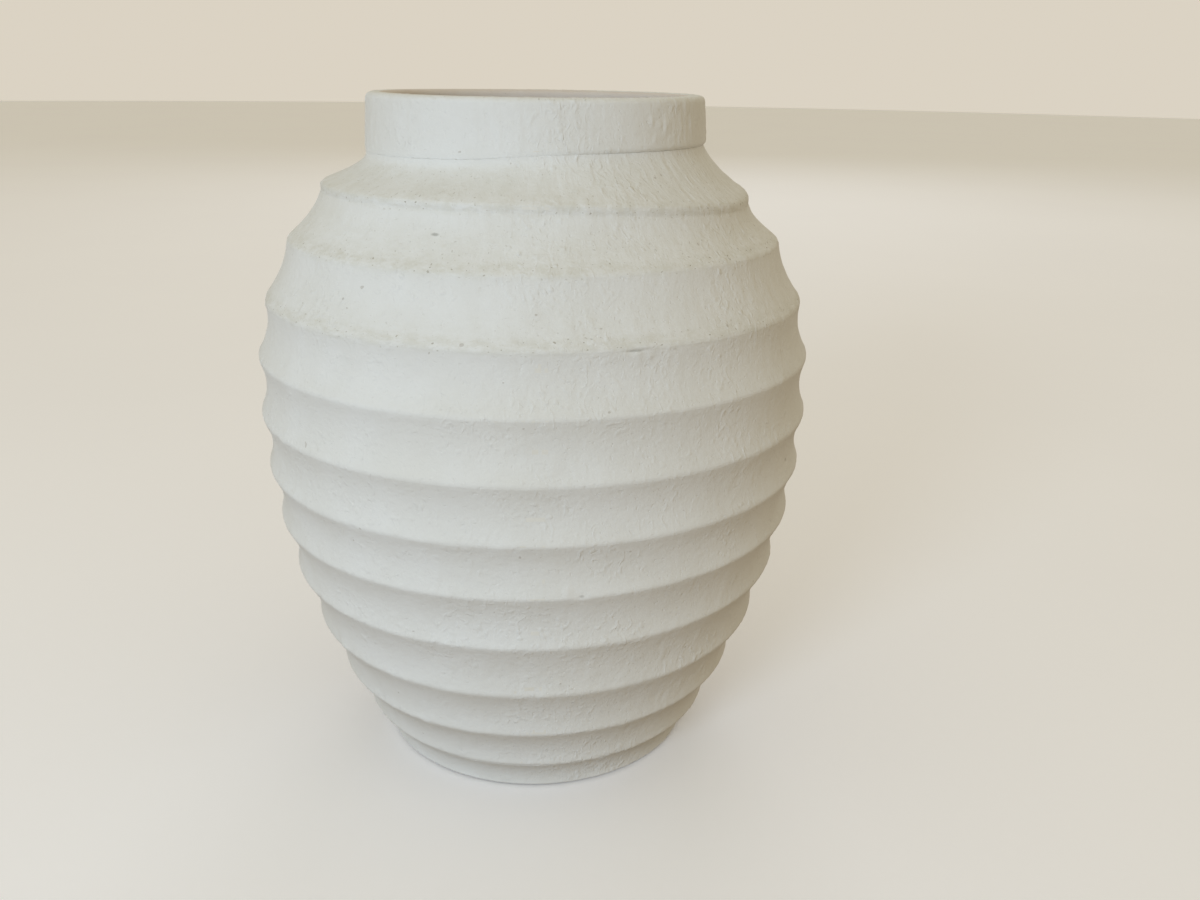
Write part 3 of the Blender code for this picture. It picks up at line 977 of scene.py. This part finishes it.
def area_light(name, position, aim_height, size, power, tint):
    """A round soft light at a position, aimed at a height on the mold's axis."""
    data = bpy.data.lights.new(name, "AREA")
    data.shape = "DISK"
    data.size = size
    data.energy = power
    data.color = tint
    light = bpy.data.objects.new(name, data)
    light.location = position
    aim = Vector((0, 0, aim_height)) - Vector(position)
    light.rotation_euler = aim.to_track_quat("-Z", "Y").to_euler()
    bpy.context.scene.collection.objects.link(light)


def build_lights():
    """A cool window at the front left, a faint warm return from the right, and a soft light from behind."""
    cool, rosy, pale_blue = (0.80, 1.0, 1.25), (1.0, 0.86, 0.86), (0.92, 1.0, 1.16)
    area_light("window_key", (-0.85, -1.45, 0.58), aim_height=0.16, size=0.6, power=11.3, tint=cool)
    area_light("room_fill", (1.55, -0.55, 0.40), aim_height=0.15, size=1.0, power=0.9, tint=rosy)
    area_light("rear_fill", (0.4, 2.6, 1.9), aim_height=0.15, size=1.6, power=10.0, tint=pale_blue)


def build_world():
    """An even warm sky. The camera sees a paler one, so that the background stays plain and light."""
    world = bpy.data.worlds.new("studio")
    world.use_nodes = True
    tree = world.node_tree
    sky = tree.nodes["Background"]
    sky.inputs["Color"].default_value = colour(0.56, 0.50, 0.37)
    sky.inputs["Strength"].default_value = 1.0
    backdrop = tree.nodes.new("ShaderNodeBackground")
    backdrop.inputs["Color"].default_value = colour(0.71, 0.65, 0.55)
    path = tree.nodes.new("ShaderNodeLightPath")
    mix = tree.nodes.new("ShaderNodeMixShader")
    tree.links.new(path.outputs["Is Camera Ray"], mix.inputs[0])
    tree.links.new(sky.outputs[0], mix.inputs[1])
    tree.links.new(backdrop.outputs[0], mix.inputs[2])
    tree.links.new(mix.outputs[0], tree.nodes["World Output"].inputs["Surface"])
    bpy.context.scene.world = world


def build_camera():
    """Camera in front of the mold, level with its rim, looking down at it."""
    distance = 0.4950
    eye_height = 0.3118
    pitch = math.radians(19.43)
    yaw = math.radians(3.51)
    roll = math.radians(0.87)
    forward = Vector((math.sin(yaw) * math.cos(pitch), math.cos(yaw) * math.cos(pitch), -math.sin(pitch)))
    level = Vector((math.cos(yaw), -math.sin(yaw), 0.0))
    upright = level.cross(forward)
    right = level * math.cos(roll) + upright * math.sin(roll)
    up = upright * math.cos(roll) - level * math.sin(roll)
    data = bpy.data.cameras.new("studio_camera")
    data.sensor_width = 36.0
    data.lens = 32.77
    data.clip_start = 0.01
    camera = bpy.data.objects.new("studio_camera", data)
    axes = Matrix((right, up, -forward)).transposed().to_4x4()
    camera.matrix_world = Matrix.Translation((0.0, -distance, eye_height)) @ axes
    bpy.context.scene.collection.objects.link(camera)
    bpy.context.scene.camera = camera


build_mold()
build_floor()
build_world()
build_lights()
build_camera()
bpy.context.scene.view_settings.view_transform = "Standard"
